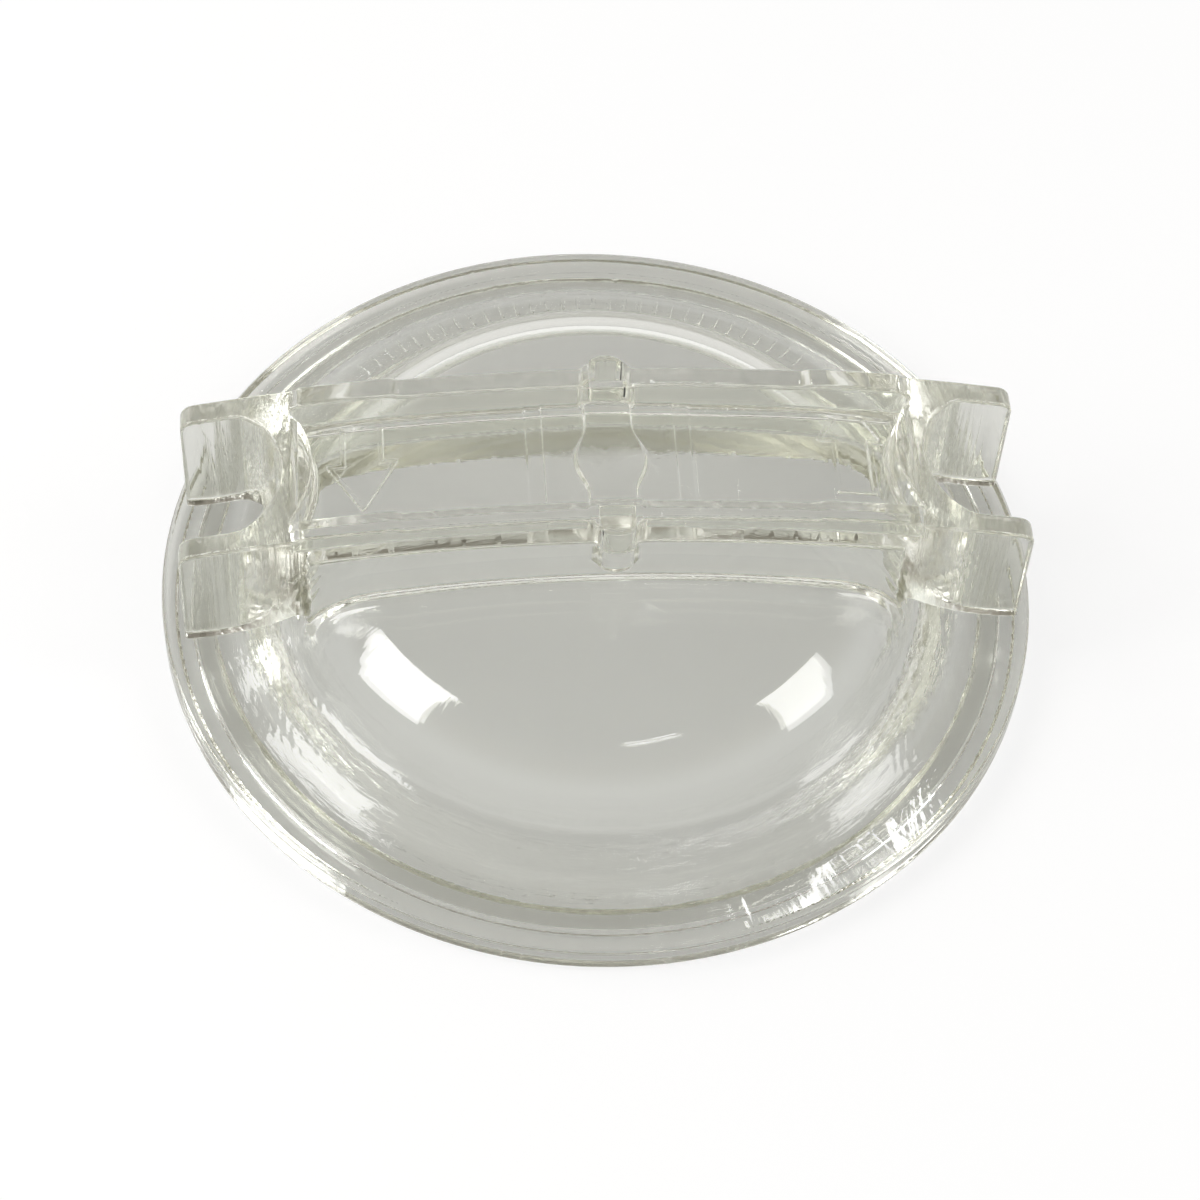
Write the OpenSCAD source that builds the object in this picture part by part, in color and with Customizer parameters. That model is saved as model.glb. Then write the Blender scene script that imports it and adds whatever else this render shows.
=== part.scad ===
// Clear screw-down lid for a pump's strainer pot, with its sealing ring.
// Z = 0 is the plane that the sealing ring stands on, and Z is the lid's own axis.
// The two grip ribs run along X, and are alike on both sides of the XZ plane.

/* [Flange] */
// Outer diameter of the flange
flange_d = 210; // [175:1:255]
// Thickness of the flange
flange_t = 7.6; // [6.3:0.1:10]
// Width of the flat band that the clamp ring bears on
flange_band = 14; // [11:0.5:17]
// Radius on the flange's outer edges
flange_edge = 1; // [0.5:0.1:2]
// Distance from the flange's edge to the mouth in its underside
mouth_inset = 21.5; // [19:0.5:24]

/* [Ledge round the dome] */
// Height of the ledge above the flange's top face
ledge_rise = 4.4; // [3:0.1:6]
// Width of the ledge, from its edge to the dome
ledge_w = 9; // [7.5:0.5:11]
// Width of the sloping step from the flange up to the ledge
ramp_w = 5; // [4:0.5:6]
// Radius of the fillet between the ledge and the dome
dome_fillet = 2.5; // [1:0.1:3]

/* [Dome] */
// Height of the dome's crown above the flange's underside
dome_h = 37.3; // [31:0.1:45]
// Radius of the shallow crown
crown_r = 300; // [250:5:360]
// Radius of the shoulder where the crown turns down
shoulder_r = 24; // [20:0.5:29]
// Wall of the dome
wall = 5; // [4:0.1:6]

/* [Grip ribs] */
// Distance over the ribs' outer faces
rib_span = 45; // [40:0.5:54]
// Thickness of a rib
rib_t = 5.8; // [4.8:0.1:7]
// Height of the ribs' tops above the flange's underside, halfway along
rib_h = 59; // [50:0.5:71]
// Radius of the ribs' long arched tops
rib_arch_r = 453; // [380:1:545]
// Distance from the flange's edge to the tip of each lug
lug_inset = 6.5; // [5:0.5:8]
// Radius of the upper corner of a lug
lug_corner = 4; // [3:0.1:4.8]
// Height of a lug's lower edge above the flange's underside, at its tip
lug_clear = 16.6; // [14:0.1:20]
// Radius of the hollow underside of a lug
lug_under_r = 52.7; // [44:0.1:63]

/* [Channel between the ribs] */
// Depth of the channel below the ribs' tops, halfway along
channel_depth = 7.7; // [6.5:0.1:9]
// Thickness of the channel's floor
floor_t = 4; // [3.3:0.1:4.8]
// Radius of the rounded notch at each end, between the lugs
notch_r = 19.2; // [17.5:0.1:23]
// Thickness of the round end walls
end_wall = 7.3; // [6:0.1:8.7]
// Distance from the flange's edge to the centre of an end notch
notch_inset = 11; // [9:0.5:13]

/* [Centre bridge and sockets] */
// Distance that the bridge and the raised panel lie off the middle
bridge_shift = 1.3; // [0:0.1:2]
// Width of the bridge across the channel
bridge_w = 11; // [9:0.1:13]
// Height of the bridge above the channel's floor
bridge_rise = 2.2; // [1.5:0.1:3]
// Diameter of the round boss in the middle of the bridge
boss_d = 16.5; // [13.5:0.1:20]
// Distance that a socket block stands out from its rib
block_out = 4; // [3:0.1:5]
// Depth of a socket block below the rib's top
block_depth = 15; // [12:0.5:17]
// Size of the socket along X
socket_x = 8; // [6.5:0.1:8.8]
// Size of the socket along Y
socket_y = 6; // [5:0.1:7]
// Depth of the socket
socket_depth = 9; // [7.5:0.5:11]
// Width of the raised panel under the bridge
panel_w = 31; // [26:0.5:37]
// Height of the raised panel
panel_rise = 0.9; // [0.4:0.1:1.2]
// Width of the step round the raised panel
panel_step = 3.6; // [2:0.1:5]

/* [Sealing ring] */
// Section diameter of the sealing ring
seal_d = 5; // [4.2:0.1:6]
// How far the ring stands out below the flange
seal_proud = 1.2; // [1:0.1:1.5]
// Clearance between the ring and each side of its groove
seal_side = 0.4; // [0.2:0.1:0.6]
// Distance from the flange's edge to the groove
groove_inset = 7; // [5:0.5:8.5]
// Clearance between the ring and the groove's roof
seal_gap = 0.2; // [0.1:0.1:0.3]

/* [Hidden] */
$fn = 180;
lid_colour = [0.80, 0.82, 0.79, 0.45];
seal_colour = [0.88, 0.88, 0.84, 0.7];
over = 1;
reach = 400;
// A shoulder's circle stands this much proud of its crown, so that the two cross cleanly.
lap = 0.1;
// The hollow under the channel stays this far inside the dome's wall.
hollow_gap = 1;

flange_r = flange_d / 2;
flange_z = seal_proud;
groove_depth = seal_d + seal_gap - seal_proud;
groove_w = seal_d + 2 * seal_side;
ramp_foot_r = flange_r - flange_band;
ledge_r = ramp_foot_r - ramp_w;
dome_r = ledge_r - ledge_w;
mouth_r = flange_r - mouth_inset;
ledge_z = flange_t + ledge_rise;
shoulder_x = dome_r - shoulder_r;
shoulder_centre_z = shoulder_z(dome_r, shoulder_r, crown_r, dome_h);
throat_r = shoulder_x + round_reach(shoulder_r - wall, ledge_z - shoulder_centre_z);
groove_out_r = flange_r - groove_inset;
seal_ring_r = groove_out_r - groove_w / 2;

rib_out = rib_span / 2;
rib_in = rib_out - rib_t;
lug_tip = flange_r - lug_inset;
lug_root = sqrt(pow(dome_r - wall / 2, 2) - pow(rib_out, 2)) - over;
notch_x = flange_r - notch_inset;
floor_z = rib_h - channel_depth;
floor_arch_r = rib_arch_r - channel_depth;
block_end = rib_out + block_out;
socket_mid = (rib_in + block_end) / 2;

// Height of a shoulder circle's centre that lets it run smoothly into a crown.
function shoulder_z(half_w, corner, crown, top) =
    top - crown + sqrt(pow(crown - corner, 2) - pow(half_w - corner, 2));

// How far a circle reaches sideways at a height above its centre, and its full radius below that.
function round_reach(r, height) = sqrt(pow(r, 2) - pow(max(0, height), 2));

// Half an outline: a shallow crown, a round shoulder and an upright side.
module crowned_half(half_w, corner, crown, top, bottom) {
    mid = half_w - corner;
    z = shoulder_z(half_w, corner, crown, top);
    stretch = (crown + over) / (crown - corner);
    crown_z = top - crown;
    intersection() {
        translate([0, bottom]) square([half_w, top - bottom]);
        union() {
            intersection() {
                translate([0, crown_z]) circle(crown);
                polygon([[0, crown_z], [stretch * mid, crown_z + stretch * (z - crown_z)],
                         [0, top + crown]]);
            }
            translate([mid, z + lap]) circle(corner);
            translate([0, bottom]) square([half_w, z - bottom]);
        }
    }
}

module mirrored(axis) {
    children();
    mirror(axis) children();
}

// The same outline on both sides, standing in the XZ plane and as thick as asked along Y.
module standing(thickness) {
    rotate([90, 0, 0]) linear_extrude(thickness, center = true) children();
}

// A roller along Y whose top is the arch of the ribs or of the channel's floor.
module arch(radius, top, thickness = reach) {
    translate([0, 0, top - radius]) rotate([90, 0, 0]) cylinder(r = radius, h = thickness, center = true);
}

module flange_half() {
    r = flange_r - flange_edge;
    square([r, flange_t]);
    translate([0, flange_edge]) square([flange_r, flange_t - 2 * flange_edge]);
    translate([r, flange_edge]) circle(flange_edge);
    translate([r, flange_t - flange_edge]) circle(flange_edge);
}

module ledge_half() {
    polygon([[0, 0], [ramp_foot_r, 0], [ramp_foot_r, flange_t], [ledge_r, ledge_z], [0, ledge_z]]);
    fillet_half();
}

// The fillet touches both the ledge and the round of the dome's shoulder.
module fillet_half() {
    above = max(0, ledge_z + dome_fillet - shoulder_centre_z);
    centre_x = shoulder_x + round_reach(shoulder_r + dome_fillet, above);
    top = above > 0 ? above * shoulder_r / (shoulder_r + dome_fillet) + shoulder_centre_z - ledge_z
        : dome_fillet;
    difference() {
        translate([shoulder_x, ledge_z]) square([centre_x - shoulder_x, top]);
        translate([centre_x, ledge_z + dome_fillet]) circle(dome_fillet);
    }
}

module shell_outside() {
    rotate_extrude() {
        flange_half();
        ledge_half();
        crowned_half(dome_r, shoulder_r, crown_r, dome_h, 0);
    }
}

// The space under the dome, with its conical mouth, and the groove for the sealing ring.
module shell_inside() {
    rotate_extrude() {
        polygon([[0, -over], [mouth_r, -over], [mouth_r, 0], [throat_r, ledge_z], [0, ledge_z]]);
        crowned_half(dome_r - wall, shoulder_r - wall, crown_r - wall, dome_h - wall, ledge_z);
        translate([groove_out_r - groove_w, -over]) square([groove_w, groove_depth + over]);
    }
}

// Seen from above: the ribs with their lugs, less the round notch at each end.
module ribs_plan() {
    difference() {
        square([2 * lug_tip, rib_span], center = true);
        mirrored([1, 0]) intersection() {
            union() {
                translate([notch_x, 0]) circle(notch_r);
                translate([notch_x, -rib_in]) square([reach, 2 * rib_in]);
            }
            square([reach, 2 * rib_in], center = true);
        }
    }
}

// Seen from the front: the long arched top, and the hollow under each lug.
module ribs_side() {
    centre_z = lug_clear + lug_under_r;
    mirrored([1, 0]) difference() {
        crowned_half(lug_tip, lug_corner, rib_arch_r, rib_h, ledge_z);
        difference() {
            translate([lug_root, -over]) square([reach, centre_z]);
            translate([lug_tip + lug_corner / 2, centre_z]) circle(lug_under_r);
        }
    }
}

// Seen from above: the space between the ribs and the two round end walls.
module channel_plan() {
    difference() {
        square([2 * notch_x, 2 * rib_in], center = true);
        mirrored([1, 0]) translate([notch_x, 0]) circle(notch_r + end_wall);
    }
}

module ribs_outside() {
    intersection() {
        standing(2 * rib_span) ribs_side();
        linear_extrude(rib_h + over) ribs_plan();
    }
}

module channel() {
    difference() {
        translate([0, 0, dome_h - wall]) linear_extrude(rib_h) channel_plan();
        arch(floor_arch_r, floor_z);
    }
}

// The hollow under the channel's floor, open to the space under the dome.
module under_channel() {
    intersection() {
        linear_extrude(rib_h) channel_plan();
        arch(floor_arch_r - floor_t, floor_z - floor_t);
        cylinder(r = dome_r - wall - hollow_gap, h = rib_h);
    }
}

// A slab that follows the channel's floor and stands above it by rise.
module on_floor(rise) {
    intersection() {
        arch(floor_arch_r + rise, floor_z + rise, 2 * rib_in + over);
        translate([bridge_shift, 0, floor_z - floor_t / 2]) linear_extrude(reach) children();
    }
}

module panel() {
    on_floor(panel_rise / 2) square([panel_w + 2 * panel_step, 2 * rib_in + over], center = true);
    on_floor(panel_rise) square([panel_w, 2 * rib_in + over], center = true);
}

module bridge() {
    on_floor(bridge_rise) {
        square([bridge_w, 2 * rib_in + over], center = true);
        circle(d = boss_d);
    }
}

// A block with a round nose on the outside of each rib, which holds a socket.
module socket_blocks() {
    mirrored([0, 1, 0]) translate([bridge_shift, rib_in, rib_h - block_depth]) {
        linear_extrude(block_depth) {
            translate([-bridge_w / 2, 0]) square([bridge_w, block_end - rib_in - bridge_w / 4]);
            intersection() {
                translate([0, block_end - rib_in - bridge_w / 2]) circle(d = bridge_w);
                translate([-bridge_w, 0]) square(2 * bridge_w);
            }
        }
    }
}

module sockets() {
    mirrored([0, 1, 0]) translate([bridge_shift, socket_mid, rib_h - socket_depth + reach / 2])
        cube([socket_x, socket_y, reach], center = true);
}

module strainer_lid() {
    color(lid_colour) translate([0, 0, flange_z]) difference() {
        union() {
            difference() {
                union() {
                    shell_outside();
                    ribs_outside();
                }
                channel();
            }
            panel();
            bridge();
            socket_blocks();
        }
        shell_inside();
        under_channel();
        sockets();
    }
}

module sealing_ring() {
    color(seal_colour) rotate_extrude()
        translate([seal_ring_r, seal_d / 2]) circle(d = seal_d);
}

strainer_lid();
sealing_ring();
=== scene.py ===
"""The looks of a clear moulded strainer-pot lid with its sealing ring.

The lid's surface is one signed distance: each feature of the moulding is a short
function of it, and blends into the next with the fillet that the mould gives it.
The distance is meshed once, and its slope gives every corner its smooth normal.
Lengths are in millimetres, and heights are above the flange's underside, until the
meshes are made, which are in metres in the frame's own axes.
"""
import math

import bmesh
import bpy
import numpy as np
from mathutils import Matrix, Vector


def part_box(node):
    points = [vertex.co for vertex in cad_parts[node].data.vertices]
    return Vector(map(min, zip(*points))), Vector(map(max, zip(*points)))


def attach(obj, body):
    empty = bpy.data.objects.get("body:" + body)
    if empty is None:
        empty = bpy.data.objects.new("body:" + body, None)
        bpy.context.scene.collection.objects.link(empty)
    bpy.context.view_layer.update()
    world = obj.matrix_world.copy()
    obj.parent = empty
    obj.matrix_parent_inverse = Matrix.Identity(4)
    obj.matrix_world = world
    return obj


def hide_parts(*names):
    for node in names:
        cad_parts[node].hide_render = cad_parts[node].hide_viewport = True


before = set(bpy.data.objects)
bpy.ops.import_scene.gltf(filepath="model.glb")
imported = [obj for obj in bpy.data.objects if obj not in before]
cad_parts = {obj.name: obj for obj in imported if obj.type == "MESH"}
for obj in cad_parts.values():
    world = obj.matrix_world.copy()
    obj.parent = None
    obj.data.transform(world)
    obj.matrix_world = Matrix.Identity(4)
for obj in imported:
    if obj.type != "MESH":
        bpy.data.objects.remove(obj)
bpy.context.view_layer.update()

MM = 0.001

# ---------------------------------------------------------------- sizes of the lid, mm
lid_low, lid_high = (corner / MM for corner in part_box("strainer_lid"))
seal_low, seal_high = (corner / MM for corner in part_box("sealing_ring"))

UNDERSIDE = lid_low.z
FLANGE_R = lid_high.x
FLANGE_T = 7.6
FLANGE_EDGE = 1.2
CLAMP_BAND_W = 14
RAMP_W = 5
LEDGE_W = 9
RAMP_FOOT_R = FLANGE_R - CLAMP_BAND_W
LEDGE_RISE = 4.4
LEDGE_Z = FLANGE_T + LEDGE_RISE
LEDGE_R = RAMP_FOOT_R - RAMP_W
LEDGE_EDGE = 1.2
RAMP_FILLET = 2.5
MOUTH_INSET = 21.5
MOUTH_R = FLANGE_R - MOUTH_INSET

DOME_R = LEDGE_R - LEDGE_W
DOME_FILLET = 2.8
DOME_H = 37.3
CROWN_R = 300.0
SHOULDER_R = 24.0
WALL = 5.0
THROAT_R = 71.6
THROAT_ROUND = 2.0

RIB_H = lid_high.z - UNDERSIDE
RIB_OUT = 22.5
RIB_T = 5.8
RIB_IN = RIB_OUT - RIB_T
RIB_ARCH_R = 453.0
RIB_EDGE = 0.8
RIB_FILLET = 3.0
LUG_INSET = 6.5
LUG_TIP = FLANGE_R - LUG_INSET
LUG_CORNER = 4.0
LUG_CLEAR = 16.6
LUG_UNDER_R = 52.7
LUG_ROOT = 70.0

CHANNEL_DEPTH = 7.7
FLOOR_Z = RIB_H - CHANNEL_DEPTH
FLOOR_ARCH_R = RIB_ARCH_R - CHANNEL_DEPTH
FLOOR_T = 4.0
FLOOR_FILLET = 1.4
HOLLOW_GAP = 1
NOTCH_INSET = 11
NOTCH_X = FLANGE_R - NOTCH_INSET
NOTCH_R = 19.2
END_WALL = 7.3

BRIDGE_X = 1.3
BRIDGE_W = 11.0
BRIDGE_RISE = 2.2
BOSS_R = 8.25
BLOCK_PROUD = 4
BLOCK_END = RIB_OUT + BLOCK_PROUD
BLOCK_DEPTH = 15.0
LAP = 1
SOCKET_X, SOCKET_Y, SOCKET_DEPTH = 8.0, 6.0, 9.0
SOCKET_EDGE = 0.5
PANEL_W, PANEL_RISE, PANEL_STEP = 31.0, 0.9, 3.6

SEAL_R = (seal_high.z - seal_low.z) / 2
SEAL_RING_R = seal_high.x - SEAL_R
GROOVE_HALF_W, GROOVE_DEPTH, GROOVE_EDGE = 2.9, 4.0, 0.4

RELIEF = 0.45
RELIEF_EDGE = 0.25


# ---------------------------------------------------------------- distances
def join(a, b, fillet=0.0):
    """The distance to either body, with a fillet of that radius where they meet."""
    if not fillet:
        return np.minimum(a, b)
    inside = np.maximum(fillet, np.minimum(a, b))
    return inside - np.hypot(np.maximum(fillet - a, 0), np.maximum(fillet - b, 0))


def shared(a, b, edge=0.0):
    """The distance to what two bodies share, with its edges rounded."""
    return -join(-a, -b, edge)


def cut(a, b, edge=0.0):
    """The distance to one body less another, with the cut's edges rounded."""
    return shared(a, -b, edge)


def crowned(across, up, half_w, corner, crown, top):
    """A shallow crown that runs through a round shoulder into an upright side."""
    across = np.abs(across)
    mid = half_w - corner
    crown_z = top - crown
    shoulder_z = crown_z + math.sqrt((crown - corner) ** 2 - mid**2)
    on_crown = across * (shoulder_z - crown_z) < mid * (up - crown_z)
    shoulder = np.hypot(across - mid, up - shoulder_z) - corner
    below = np.where(up > shoulder_z, shoulder, across - half_w)
    return np.where(on_crown, np.hypot(across, up - crown_z) - crown, below)


def arch(x, z, radius, top):
    """Height above a long arch that runs along X."""
    return np.hypot(x, z - top + radius) - radius


def shell_outside(r, z):
    flange = shared(r - FLANGE_R, np.abs(z - FLANGE_T / 2) - FLANGE_T / 2, FLANGE_EDGE)
    run, rise = RAMP_FOOT_R - LEDGE_R, LEDGE_Z - FLANGE_T
    ramp = ((r - RAMP_FOOT_R) * rise + (z - FLANGE_T) * run) / math.hypot(run, rise)
    ledge = shared(shared(z - LEDGE_Z, ramp, LEDGE_EDGE), -z)
    dome = shared(crowned(r, z, DOME_R, SHOULDER_R, CROWN_R, DOME_H), -z)
    return join(join(flange, ledge, RAMP_FILLET), dome, DOME_FILLET)


def shell_inside(r, z):
    slope = (MOUTH_R - THROAT_R) / LEDGE_Z
    mouth = (r - MOUTH_R + z * slope) / math.hypot(1, slope)
    mouth = shared(mouth, z - LEDGE_Z - WALL, THROAT_ROUND)
    dome = crowned(r, z, DOME_R - WALL, SHOULDER_R - WALL, CROWN_R - WALL, DOME_H - WALL)
    return join(mouth, dome, THROAT_ROUND)


def seal_groove(r, z):
    return shared(np.abs(r - SEAL_RING_R) - GROOVE_HALF_W, z - GROOVE_DEPTH, GROOVE_EDGE)


def ribs(x, y, z):
    """Both ribs with their lugs as one arched bar, less the notch at each end."""
    top = crowned(x, z, LUG_TIP, LUG_CORNER, RIB_ARCH_R, RIB_H)
    under = np.hypot(np.abs(x) - LUG_TIP - LUG_CORNER / 2, z - LUG_CLEAR - LUG_UNDER_R) - LUG_UNDER_R
    root = shared(top, np.abs(x) - LUG_ROOT)
    lugs = shared(top, under, RIB_EDGE)
    bar = shared(np.abs(y) - RIB_OUT, join(root, lugs, RIB_FILLET), RIB_EDGE)
    bar = shared(bar, LEDGE_Z - z)
    ring = np.hypot(np.abs(x) - NOTCH_X, y) - NOTCH_R
    notch = shared(join(ring, NOTCH_X - np.abs(x)), np.abs(y) - RIB_IN, RIB_EDGE)
    return cut(bar, notch, RIB_EDGE)


def channel_plan(x, y):
    ends = NOTCH_R + END_WALL - np.hypot(np.abs(x) - NOTCH_X, y)
    return shared(shared(np.abs(y) - RIB_IN, ends, FLOOR_FILLET), np.abs(x) - NOTCH_X)


def bridge(x, y, z):
    """The stepped panel, the bridge and its boss, all following the channel's floor."""
    above = arch(x, z, FLOOR_ARCH_R, FLOOR_Z)
    off = np.abs(x - BRIDGE_X)
    between = shared(np.abs(y) - RIB_IN - LAP, -above - FLOOR_T / 2)
    step = shared(off - PANEL_W / 2 - PANEL_STEP, above - PANEL_RISE / 2, PANEL_RISE / 3)
    panel = shared(off - PANEL_W / 2, above - PANEL_RISE, PANEL_RISE / 3)
    boss = np.hypot(x - BRIDGE_X, y) - BOSS_R
    strip = shared(join(off - BRIDGE_W / 2, boss, RIB_FILLET), above - BRIDGE_RISE, RIB_EDGE)
    return shared(join(join(step, panel), strip, RIB_EDGE), between)


def socket_blocks(x, y, z):
    off = np.abs(x - BRIDGE_X)
    nose = np.hypot(off, np.maximum(np.abs(y) - BLOCK_END + BRIDGE_W / 2, 0)) - BRIDGE_W / 2
    tall = np.abs(z - RIB_H + BLOCK_DEPTH / 2) - BLOCK_DEPTH / 2
    return shared(shared(nose, tall, RIB_EDGE), RIB_IN - np.abs(y))


def sockets(x, y, z):
    middle = (RIB_IN + BLOCK_END) / 2
    plan = shared(
        np.abs(x - BRIDGE_X) - SOCKET_X / 2,
        np.abs(np.abs(y) - middle) - SOCKET_Y / 2,
        SOCKET_EDGE,
    )
    return shared(plan, RIB_H - SOCKET_DEPTH - z, SOCKET_EDGE)


def lid(x, y, z):
    """The whole moulding: negative inside the plastic."""
    r = np.hypot(x, y)
    channel = channel_plan(x, y)
    above_floor = arch(x, z, FLOOR_ARCH_R, FLOOR_Z)
    body = join(shell_outside(r, z), ribs(x, y, z), RIB_FILLET)
    over_shell = shared(-above_floor, DOME_H - WALL - z)
    body = cut(body, shared(channel, over_shell, FLOOR_FILLET), RIB_EDGE)
    body = join(body, bridge(x, y, z), RIB_EDGE)
    body = shared(join(body, socket_blocks(x, y, z), RIB_FILLET / 2), z - RIB_H)
    under = shared(channel, above_floor + FLOOR_T, FLOOR_FILLET)
    under = shared(under, r - DOME_R + WALL + HOLLOW_GAP)
    body = cut(body, join(shell_inside(r, z), under), RIB_EDGE)
    body = cut(body, seal_groove(r, z), GROOVE_EDGE)
    return cut(body, sockets(x, y, z), SOCKET_EDGE)


# ---------------------------------------------------------------- raised marks, mm
ARROW_OFF = 57.4
ARROW_HEAD = (7.7, 12.9)
ARROW_SHAFT = (4.35, 15.3)
ARROW_BASE_Y = 3.9
LINE_HALF_W = 0.4
TICK_R = (81.6, 85.0)
TICK_HALF_W = 0.3
TICKS = 132
TICK_ARC = math.radians(42)


def arrow_outline(x, y):
    """Distance to the outline of a bare arrow that points along -Y, its head's base on Y = 0."""
    head_w, head_l = ARROW_HEAD
    shaft_w, shaft_l = ARROW_SHAFT
    half = [(0, -head_l), (head_w, 0), (shaft_w, 0), (shaft_w, shaft_l), (0, shaft_l)]
    nearest = np.full(np.shape(x), np.inf)
    for (ax, ay), (bx, by) in zip(half, half[1:]):
        along_x, along_y = bx - ax, by - ay
        length = along_x**2 + along_y**2
        share = np.clip(((np.abs(x) - ax) * along_x + (y - ay) * along_y) / length, 0, 1)
        off_x, off_y = np.abs(x) - ax - share * along_x, y - ay - share * along_y
        nearest = np.minimum(nearest, np.hypot(off_x, off_y))
    return nearest


def marks(x, y, z):
    """Distance from above to the raised lines: two arrows in the channel and ticks on the ledge."""
    left = arrow_outline(x - BRIDGE_X + ARROW_OFF, y - ARROW_BASE_Y)
    right = arrow_outline(x - BRIDGE_X - ARROW_OFF, 2 * ARROW_BASE_Y - y)
    arrows = np.maximum(np.minimum(left, right) - LINE_HALF_W, np.abs(y) - RIB_IN + 2 * FLOOR_FILLET)
    arrows = np.where(np.abs(arch(x, z, FLOOR_ARCH_R, FLOOR_Z)) < RELIEF, arrows, np.inf)
    r, turn = np.hypot(x, y), np.arctan2(y, x)
    pitch = 2 * math.pi / TICKS
    aside = r * np.abs((turn / pitch + 0.5) % 1 - 0.5) * pitch
    middle, half_l = sum(TICK_R) / 2, (TICK_R[1] - TICK_R[0]) / 2
    ticks = np.hypot(aside, np.maximum(np.abs(r - middle) - half_l, 0)) - TICK_HALF_W
    lettered = (np.abs(z - LEDGE_Z) < RELIEF) & (np.abs(np.arctan2(x, y)) < TICK_ARC)
    ticks = np.where(lettered, ticks, np.inf)
    return np.minimum(arrows, ticks)


def panel_steps(x, y, z):
    """Distance along X to the nearest edge of the stepped panel, in the channel."""
    off = np.abs(x - BRIDGE_X)
    nearest = np.minimum(np.abs(off - PANEL_W / 2), np.abs(off - PANEL_W / 2 - PANEL_STEP))
    on_floor = np.abs(arch(x, z, FLOOR_ARCH_R, FLOOR_Z) - PANEL_RISE / 2) < PANEL_RISE
    return np.where(on_floor & (np.abs(y) < RIB_IN), nearest, np.inf)


def fine_detail(x, y, z):
    """Distance to whatever is too small for the grid."""
    return np.minimum(marks(x, y, z), panel_steps(x, y, z))


def relief(x, y, z):
    """How far the raised lines stand out of the surface under them."""
    share = np.clip(1 - marks(x, y, z) / RELIEF_EDGE, 0, 1)
    return RELIEF * share * share * (3 - 2 * share)


# ---------------------------------------------------------------- meshing, mm
STEP = 0.55
FINE_CUTS = 1
LID_TRIANGLES = 176_000
KEPT_WITHIN = 3 * STEP
SPLIT_WITHIN = 1.3 * STEP
NUDGE = 0.02
LEAST_STEEPNESS = 0.25
SEAL_TURNS, SEAL_SIDES = 360, 40
SEAL_FLASH = 0.06
FLASH_SPREAD = 0.06


def slope(height, points):
    """Gradient of a function of x, y and z at each point."""
    columns = []
    for axis in np.eye(3) * NUDGE:
        columns.append((height(*(points + axis).T) - height(*(points - axis).T)) / (2 * NUDGE))
    return np.stack(columns, 1)


def settle(distance, points, rounds=4):
    """Moves points onto the surface where the distance is 0."""
    for _ in range(rounds):
        grade = slope(distance, points)
        off = np.clip(distance(*points.T), -STEP / 2, STEP / 2)
        steepness = np.maximum((grade**2).sum(1), LEAST_STEEPNESS)
        points = points - (off / steepness)[:, None] * grade
    return points


def surface_net(distance, low, high):
    """One corner in each grid cell that the surface crosses, and a quad across each crossed edge."""
    axes = [np.arange(a, b + STEP, STEP, dtype=np.float32) for a, b in zip(low, high)]
    value = distance(*np.meshgrid(*axes, indexing="ij", sparse=True))
    inside = value < 0
    corners = [(i, j, k) for i in (0, 1) for j in (0, 1) for k in (0, 1)]
    cells = np.array(value.shape) - 1

    def corner_of(grid, corner):
        return grid[tuple(slice(c, c + n) for c, n in zip(corner, cells))]

    filled = sum(corner_of(inside, c).astype(np.uint8) for c in corners)
    crossed = (filled > 0) & (filled < 8)
    number = np.full(crossed.shape, -1, np.int64)
    number[crossed] = np.arange(crossed.sum())
    at_corner = {c: corner_of(value, c)[crossed] for c in corners}
    total = np.zeros((crossed.sum(), 3))
    hits = np.zeros(crossed.sum())
    for axis in range(3):
        for start in (c for c in corners if c[axis] == 0):
            end = tuple(c + (i == axis) for i, c in enumerate(start))
            a, b = at_corner[start], at_corner[end]
            hit = (a < 0) != (b < 0)
            place = np.tile(np.array(start, float), (len(a), 1))
            place[:, axis] = np.where(hit, a / np.where(hit, a - b, 1), 0)
            total[hit] += place[hit]
            hits += hit
    points = np.array(low) + (np.argwhere(crossed) + total / hits[:, None]) * STEP
    quads = []
    for axis in range(3):
        second, third = (axis + 1) % 3, (axis + 2) % 3
        near = [slice(1, -1)] * 3
        near[axis] = slice(0, -1)
        far = list(near)
        far[axis] = slice(1, None)
        near, far = inside[tuple(near)], inside[tuple(far)]
        edge = np.argwhere(near != far) + [int(i != axis) for i in range(3)]
        leaves = near[near != far]
        back = np.eye(3, dtype=int)
        ring = [edge, edge - back[second], edge - back[second] - back[third], edge - back[third]]
        quad = np.stack([number[tuple(cell.T)] for cell in ring], 1)
        quads.append(np.where(leaves[:, None], quad, quad[:, ::-1]))
    return points, np.concatenate(quads)


def mesh_of(name, points, faces):
    """A mesh of those corners and of faces that all have the same number of sides."""
    mesh = bpy.data.meshes.new(name)
    sides = faces.shape[1]
    mesh.vertices.add(len(points))
    mesh.vertices.foreach_set("co", np.ascontiguousarray(points, np.float32).ravel())
    mesh.loops.add(faces.size)
    mesh.loops.foreach_set("vertex_index", np.ascontiguousarray(faces, np.int32).ravel())
    mesh.polygons.add(len(faces))
    mesh.polygons.foreach_set("loop_start", np.arange(0, faces.size, sides, dtype=np.int32))
    mesh.update(calc_edges=True)
    return mesh


def points_of(mesh):
    points = np.empty(len(mesh.vertices) * 3, np.float32)
    mesh.vertices.foreach_get("co", points)
    return points.reshape(-1, 3).astype(float)


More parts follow.
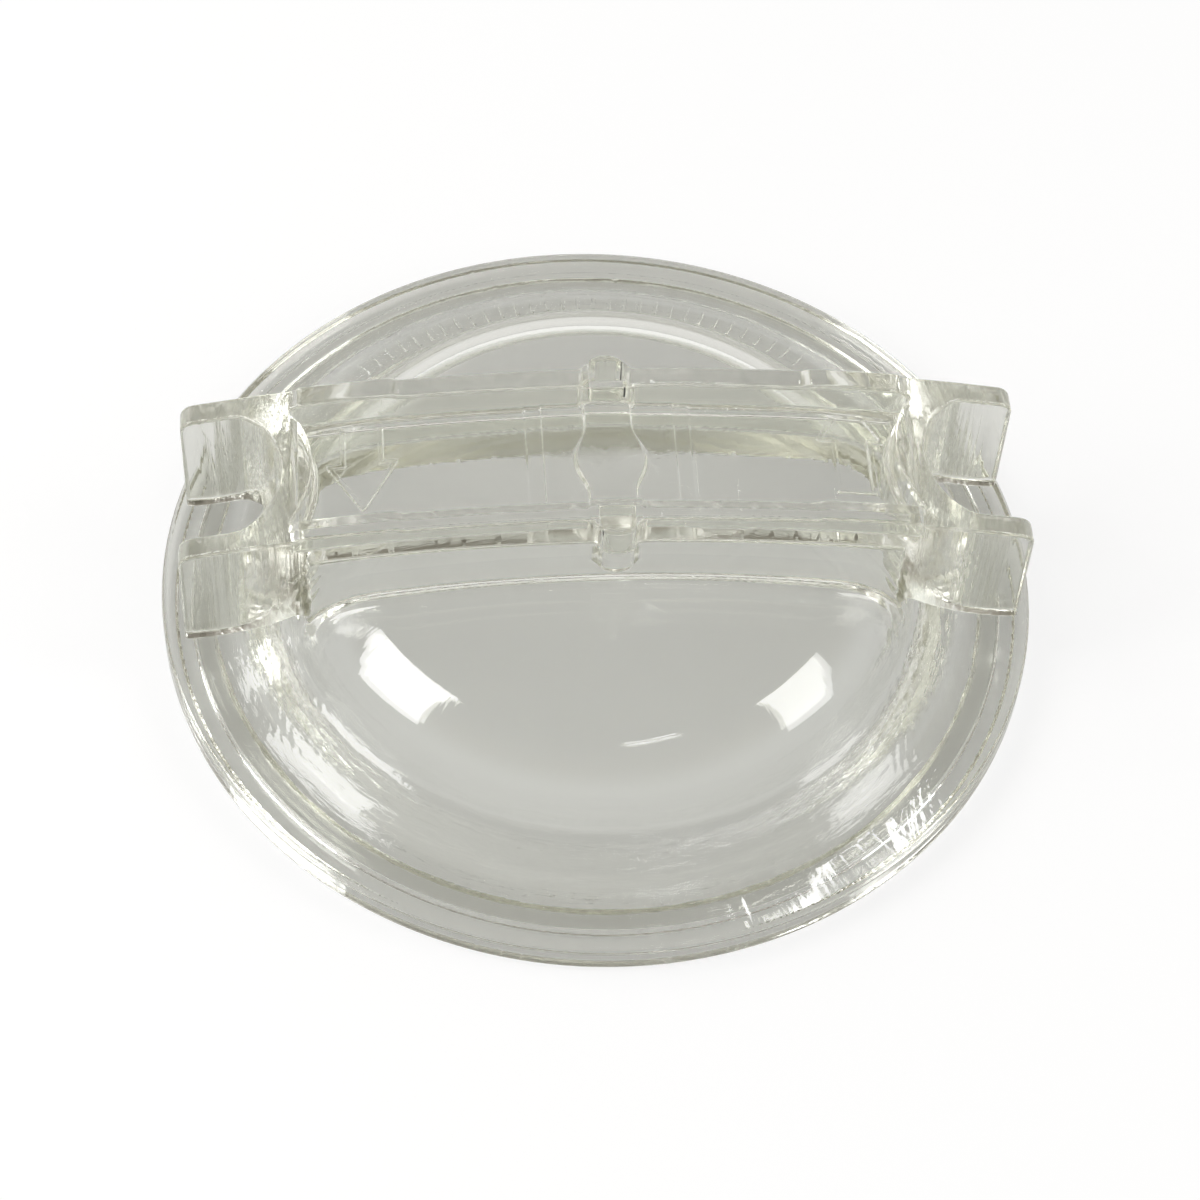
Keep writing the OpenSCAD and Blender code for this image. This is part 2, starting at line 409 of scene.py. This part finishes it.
def thinned(mesh, triangles, kept):
    """The mesh with fewer triangles, which stay small where it curves and at the kept corners."""
    holder = bpy.data.objects.new("holder", mesh)
    bpy.context.collection.objects.link(holder)
    free = holder.vertex_groups.new(name="free")
    free.add(np.flatnonzero(~kept).tolist(), 1.0, "REPLACE")
    decimate = holder.modifiers.new("thin", "DECIMATE")
    decimate.vertex_group = free.name
    decimate.ratio = triangles / (2 * len(mesh.polygons))
    graph = bpy.context.evaluated_depsgraph_get()
    made = bpy.data.meshes.new_from_object(holder.evaluated_get(graph))
    bpy.data.objects.remove(holder)
    return made


def refine(mesh, near):
    """Splits the faces whose corners are all near the raised lines, so that they can hold them."""
    bm = bmesh.new()
    bm.from_mesh(mesh)
    faces = [f for f in bm.faces if all(near[v.index] for v in f.verts)]
    edges = list({e for f in faces for e in f.edges})
    bmesh.ops.subdivide_edges(bm, edges=edges, cuts=FINE_CUTS, use_grid_fill=True)
    bmesh.ops.triangulate(bm, faces=bm.faces)
    bm.to_mesh(mesh)
    bm.free()


def finished(name, mesh, points, normals):
    """An object of the mesh, its corners at those points in mm above the flange's underside."""
    placed = (points + (0, 0, UNDERSIDE)) * MM
    mesh.vertices.foreach_set("co", np.ascontiguousarray(placed, np.float32).ravel())
    mesh.update()
    mesh.polygons.foreach_set("use_smooth", [True] * len(mesh.polygons))
    mesh.normals_split_custom_set_from_vertices(normals / np.linalg.norm(normals, axis=1)[:, None])
    obj = bpy.data.objects.new(name, mesh)
    bpy.context.collection.objects.link(obj)
    return obj


def make_lid():
    """The whole moulding as one smooth mesh, with the raised lines in it."""
    room = 2 * STEP
    low = (-FLANGE_R - room, -FLANGE_R - room, -room)
    high = (FLANGE_R + room, FLANGE_R + room, RIB_H + room)
    points, quads = surface_net(lid, low, high)
    points = settle(lid, points)
    mesh = mesh_of("strainer_lid_moulding", points, quads)
    mesh = thinned(mesh, LID_TRIANGLES, fine_detail(*points.T) < KEPT_WITHIN)
    refine(mesh, fine_detail(*points_of(mesh).T) < SPLIT_WITHIN)
    points = settle(lid, points_of(mesh))
    grade = slope(lid, points)
    raised = slope(relief, points)
    across = raised - (raised * grade).sum(1)[:, None] * grade
    return finished("lid_moulding", mesh, points + relief(*points.T)[:, None] * grade, grade - across)


def make_seal():
    """A round cord moulded as a ring, with the fine parting line that its mould leaves."""
    around = np.arange(SEAL_TURNS) * 2 * math.pi / SEAL_TURNS
    about = np.arange(SEAL_SIDES) * 2 * math.pi / SEAL_SIDES
    flash = SEAL_FLASH * np.exp(-((np.sin(about) / FLASH_SPREAD) ** 2))
    around, about = np.meshgrid(around, about, indexing="ij")
    reach = (SEAL_R - SEAL_FLASH + flash) * np.ones_like(about)
    out = np.cos(about)
    normals = np.stack([out * np.cos(around), out * np.sin(around), np.sin(about)], -1).reshape(-1, 3)
    centre = np.stack([np.cos(around), np.sin(around), 0 * around], -1).reshape(-1, 3) * SEAL_RING_R
    points = centre + normals * reach.reshape(-1, 1) + (0, 0, seal_low.z + SEAL_R - UNDERSIDE)
    index = np.arange(SEAL_TURNS * SEAL_SIDES).reshape(SEAL_TURNS, SEAL_SIDES)
    ahead = np.roll(index, -1, 0)
    quads = np.stack([index, ahead, np.roll(ahead, -1, 1), np.roll(index, -1, 1)], -1).reshape(-1, 4)
    return finished("seal_cord", mesh_of("sealing_ring_cord", points, quads), points, normals)


# ---------------------------------------------------------------- materials
# Places of the marks, mm: a band round the ramp, and a block at the root of each lug.
TURNED_R = (RAMP_FOOT_R + DOME_R) / 2
TURNED_HALF_W, TURNED_FADE = 9.0, 3.0
ROOT_X, ROOT_HALF_L, ROOT_FADE_X = 76.0, 8.0, 5.0
ROOT_Z, ROOT_HALF_H, ROOT_FADE_Z = 27.0, 14.0, 6.0
MARK_DEPTH, BLOOM_DEPTH = 0.05, 0.05
TURNING_SHARE, FLOW_LINE_SHARE, RIPPLE_SHARE = 5.0, 0.35, 0.8


class Nodes:
    """A material's node tree, with a short way to add and link nodes."""

    def __init__(self, name):
        self.material = bpy.data.materials.new(name)
        self.material.use_nodes = True
        self.tree = self.material.node_tree
        self.tree.nodes.clear()
        self.output = self.add("OutputMaterial")

    def add(self, kind, settings=None, **inputs):
        node = self.tree.nodes.new("ShaderNode" + kind)
        for key, value in (settings or {}).items():
            setattr(node, key, value)
        for key, value in inputs.items():
            self.set(node.inputs[key.replace("_", " ")], value)
        return node

    def set(self, socket, value):
        if isinstance(value, bpy.types.NodeSocket):
            self.tree.links.new(value, socket)
        else:
            socket.default_value = value

    def math(self, operation, a, b=0.0, c=0.0):
        node = self.add("Math", {"operation": operation})
        for socket, value in zip(node.inputs, (a, b, c)):
            self.set(socket, value)
        return node.outputs[0]

    def band(self, value, middle, half_w, soft):
        """1 within half_w of the middle, falling to 0 over soft."""
        off = self.math("ABSOLUTE", self.math("SUBTRACT", value, middle))
        node = self.add("MapRange", {"interpolation_type": "SMOOTHSTEP"}, Value=off,
                        From_Min=half_w, From_Max=half_w + soft, To_Min=1.0, To_Max=0.0)
        return node.outputs["Result"]

    def spread(self, noise, low, high):
        """Noise brought from its usual range to the range from low to high."""
        node = self.add("MapRange", Value=noise, From_Min=0.3, From_Max=0.7, To_Min=low, To_Max=high)
        return node.outputs["Result"]

    def streaks(self, x, y, radius, around, outward, detail):
        """Noise drawn out round the axis or away from it, by how often it changes each way."""
        flat = self.add("CombineXYZ", X=x, Y=y)
        turned = self.add("VectorMath", {"operation": "NORMALIZE"})
        self.set(turned.inputs[0], flat.outputs[0])
        stretched = self.add("VectorMath", {"operation": "SCALE"}, Scale=around)
        self.set(stretched.inputs[0], turned.outputs[0])
        lifted = self.add("CombineXYZ", Z=self.math("MULTIPLY", radius, outward))
        both = self.add("VectorMath", {"operation": "ADD"})
        self.set(both.inputs[0], stretched.outputs[0])
        self.set(both.inputs[1], lifted.outputs[0])
        return self.add("TexNoise", Vector=both.outputs[0], Scale=1.0, Detail=detail).outputs[0]

    def place(self):
        """The point in metres as a vector, its X, Y and Z, and its distance from the axis."""
        point = self.add("TexCoord").outputs["Object"]
        split = self.add("SeparateXYZ", Vector=point)
        flat = self.add("CombineXYZ", X=split.outputs[0], Y=split.outputs[1])
        radius = self.add("VectorMath", {"operation": "LENGTH"}, Vector=flat.outputs[0])
        return point, split.outputs, radius.outputs["Value"]


def plastic_marks(n):
    """Height of the marks in the plastic: flow, turning marks on the ramp, ripples at the lug roots."""
    point, (x, y, z), radius = n.place()
    flow = n.add("TexNoise", Vector=point, Scale=28.0, Detail=2.0, Roughness=0.45).outputs[0]
    turning = n.streaks(x, y, radius, around=9.0, outward=900.0, detail=3.0)
    flow_lines = n.streaks(x, y, radius, around=45.0, outward=25.0, detail=1.0)
    ripples = n.add("TexWave", {"wave_type": "RINGS", "rings_direction": "Y"}, Vector=point,
                    Scale=150.0, Distortion=3.0, Detail=2.0, Detail_Scale=0.6).outputs["Fac"]

    on_ramp = n.band(radius, TURNED_R * MM, TURNED_HALF_W * MM, TURNED_FADE * MM)
    along_lug = n.band(n.math("ABSOLUTE", x), ROOT_X * MM, ROOT_HALF_L * MM, ROOT_FADE_X * MM)
    up_lug = n.band(z, ROOT_Z * MM, ROOT_HALF_H * MM, ROOT_FADE_Z * MM)
    at_roots = n.math("MULTIPLY", along_lug, up_lug)

    height = n.math("MULTIPLY_ADD", turning, n.math("MULTIPLY", on_ramp, TURNING_SHARE), flow)
    height = n.math("MULTIPLY_ADD", flow_lines, FLOW_LINE_SHARE, height)
    return n.math("MULTIPLY_ADD", ripples, n.math("MULTIPLY", at_roots, RIPPLE_SHARE), height)


def clear_plastic():
    """Moulded polycarbonate: clear, with a warm grey tint where it is thick."""
    n = Nodes("clear_polycarbonate")
    point, _, _ = n.place()
    haze = n.add("TexNoise", Vector=point, Scale=160.0, Detail=4.0, Roughness=0.6).outputs[0]
    bump = n.add("Bump", Height=plastic_marks(n), Strength=1.0, Distance=MARK_DEPTH * MM)
    body = n.add("BsdfPrincipled", Roughness=n.spread(haze, 0.02, 0.05), Normal=bump.outputs[0],
                 Base_Color=(0.95, 0.958, 0.92, 1), Transmission_Weight=1.0, IOR=1.585)
    tint = n.add("VolumeAbsorption", Density=8.0, Color=(0.68, 0.67, 0.54, 1))
    n.set(n.output.inputs["Surface"], body.outputs[0])
    n.set(n.output.inputs["Volume"], tint.outputs[0])
    return n.material


def clear_silicone():
    """Clear silicone: softly hazy, with a fine moulding bloom."""
    n = Nodes("clear_silicone")
    point, _, _ = n.place()
    bloom = n.add("TexNoise", Vector=point, Scale=220.0, Detail=5.0, Roughness=0.6).outputs[0]
    bump = n.add("Bump", Height=bloom, Strength=0.4, Distance=BLOOM_DEPTH * MM)
    body = n.add("BsdfPrincipled", Roughness=n.spread(bloom, 0.06, 0.16), Normal=bump.outputs[0],
                 Base_Color=(0.95, 0.95, 0.92, 1), Transmission_Weight=1.0, IOR=1.41)
    n.set(n.output.inputs["Surface"], body.outputs[0])
    return n.material


# ---------------------------------------------------------------- stage, light and camera
# Light crosses many faces of the moulding before it leaves it, and would end black with fewer.
LIGHT_BOUNCES = 32
FLOOR_HALF = 6.0
# The glow and paint used through or off the plastic are lower: painted shade for the floor under the
# lid.
FLOOR_GLOW, FLOOR_GLOW_THROUGH = 0.8, 0.32
FLOOR_PAINT, FLOOR_PAINT_THROUGH = 0.9, 0.66
# The lamps: degrees from the middle of a pair of tubes to each, and a tube's thickness in metres.
TUBE_APART, TUBE_D = 1.2, 0.014


def white_floor():
    """A white floor that keeps the object's soft shadow, and is painted greyer as seen through or off
    the plastic: painted shade for the floor under the lid.
    """
    n = Nodes("pale_floor")
    rays = n.add("LightPath").outputs
    # Rays that came through or off the plastic get less glow and darker paint, which is painted shade
    # under the lid.
    bent = n.math("MAXIMUM", rays["Is Glossy Ray"], rays["Is Transmission Ray"])
    share = n.math("MULTIPLY_ADD", bent, FLOOR_GLOW_THROUGH - FLOOR_GLOW, FLOOR_GLOW)
    paint = n.math("MULTIPLY_ADD", bent, FLOOR_PAINT_THROUGH - FLOOR_PAINT, FLOOR_PAINT)
    grey = n.add("CombineColor", Red=paint, Green=paint, Blue=paint)
    lit = n.add("BsdfDiffuse", Color=grey.outputs[0])
    glow = n.add("Emission", Color=(1, 1, 1, 1), Strength=1.0)
    mix = n.add("MixShader", Fac=share)
    n.set(mix.inputs[1], lit.outputs[0])
    n.set(mix.inputs[2], glow.outputs[0])
    n.set(n.output.inputs["Surface"], mix.outputs[0])
    corners = np.array([(-1, -1, 0), (1, -1, 0), (1, 1, 0), (-1, 1, 0)]) * FLOOR_HALF
    floor = bpy.data.objects.new("floor", mesh_of("floor", corners, np.array([[0, 1, 2, 3]])))
    floor.data.materials.append(n.material)
    bpy.context.collection.objects.link(floor)


def studio_world():
    """White round the horizon and dark overhead, which gives the plastic its edges."""
    world = bpy.data.worlds.new("studio")
    bpy.context.scene.world = world
    world.use_nodes = True
    tree = world.node_tree
    tree.nodes.clear()
    out = tree.nodes.new("ShaderNodeOutputWorld")
    back = tree.nodes.new("ShaderNodeBackground")
    ramp = tree.nodes.new("ShaderNodeValToRGB")
    split = tree.nodes.new("ShaderNodeSeparateXYZ")
    where = tree.nodes.new("ShaderNodeTexCoord")
    tree.links.new(where.outputs["Generated"], split.inputs[0])
    tree.links.new(split.outputs["Z"], ramp.inputs[0])
    tree.links.new(ramp.outputs[0], back.inputs["Color"])
    tree.links.new(back.outputs[0], out.inputs["Surface"])
    # How high a direction points, from 0 at the horizon to 1 overhead, and its colour.
    stops = ramp.color_ramp.elements
    stops[0].position, stops[0].color = 0.30, (1, 1, 1, 1)
    stops[1].position, stops[1].color = 0.62, (0.38, 0.35, 0.30, 1)
    stops.new(0.94).color = (0.08, 0.07, 0.05, 1)


def toward(azimuth, elevation):
    """A unit vector; azimuth 0 is +Y and 90 is +X."""
    a, e = math.radians(azimuth), math.radians(elevation)
    return Vector((math.sin(a) * math.cos(e), math.cos(a) * math.cos(e), math.sin(e)))


def pane(name, azimuth, elevation, width, height, radiance, distance=1.3, roll=0.0):
    """A soft rectangular light that faces the object, as wide and high as asked in metres."""
    light = bpy.data.lights.new(name, "AREA")
    light.shape = "RECTANGLE"
    light.size, light.size_y = width, height
    light.energy = radiance * math.pi * width * height
    obj = bpy.data.objects.new(name, light)
    direction = toward(azimuth, elevation)
    obj.matrix_world = (
        Matrix.Translation(direction * distance)
        @ direction.to_track_quat("Z", "Y").to_matrix().to_4x4()
        @ Matrix.Rotation(math.radians(roll), 4, "Z")
    )
    bpy.context.collection.objects.link(obj)


def camera():
    """Looks down at the lid from the front left, rolled a little."""
    data = bpy.data.cameras.new("camera")
    data.sensor_width, data.lens = 36.0, 99.38
    data.clip_start, data.clip_end = 0.05, 30.0
    obj = bpy.data.objects.new("camera", data)
    aim = Vector((-1.08, -17.94, 22.0 + UNDERSIDE)) * MM
    azimuth, elevation, roll, distance = 6.760, 53.787, 3.921, 0.78081
    back = -toward(azimuth, -elevation)
    obj.matrix_world = (
        Matrix.Translation(aim + back * distance)
        @ back.to_track_quat("Z", "Y").to_matrix().to_4x4()
        @ Matrix.Rotation(math.radians(roll), 4, "Z")
    )
    bpy.context.collection.objects.link(obj)
    bpy.context.scene.camera = obj


camera()
white_floor()
studio_world()
pane("window_left", -97, 42, width=0.52, height=1.10, radiance=7.0, roll=25)
pane("window_left_side", -71, 29, width=0.16, height=0.88, radiance=6.0, roll=20)
pane("window_right", 105, 36, width=0.40, height=0.98, radiance=4.8, roll=-23)
for side in (-1, 1):
    pane(f"tube_{side}", 20, 60.5 + TUBE_APART * side, width=0.20, height=TUBE_D, radiance=16.0)
    pane(f"tube_low_{side}", 152, 67 + TUBE_APART * side, width=0.26, height=TUBE_D, radiance=14.0)

lid_piece = make_lid()
lid_piece.data.materials.append(clear_plastic())
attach(lid_piece, "root")
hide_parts("strainer_lid")

seal_piece = make_seal()
seal_piece.data.materials.append(clear_silicone())
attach(seal_piece, "root")
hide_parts("sealing_ring")

bpy.context.scene.view_settings.view_transform = "Standard"
for limit in ("max_bounces", "transmission_bounces", "glossy_bounces"):
    setattr(bpy.context.scene.cycles, limit, LIGHT_BOUNCES)
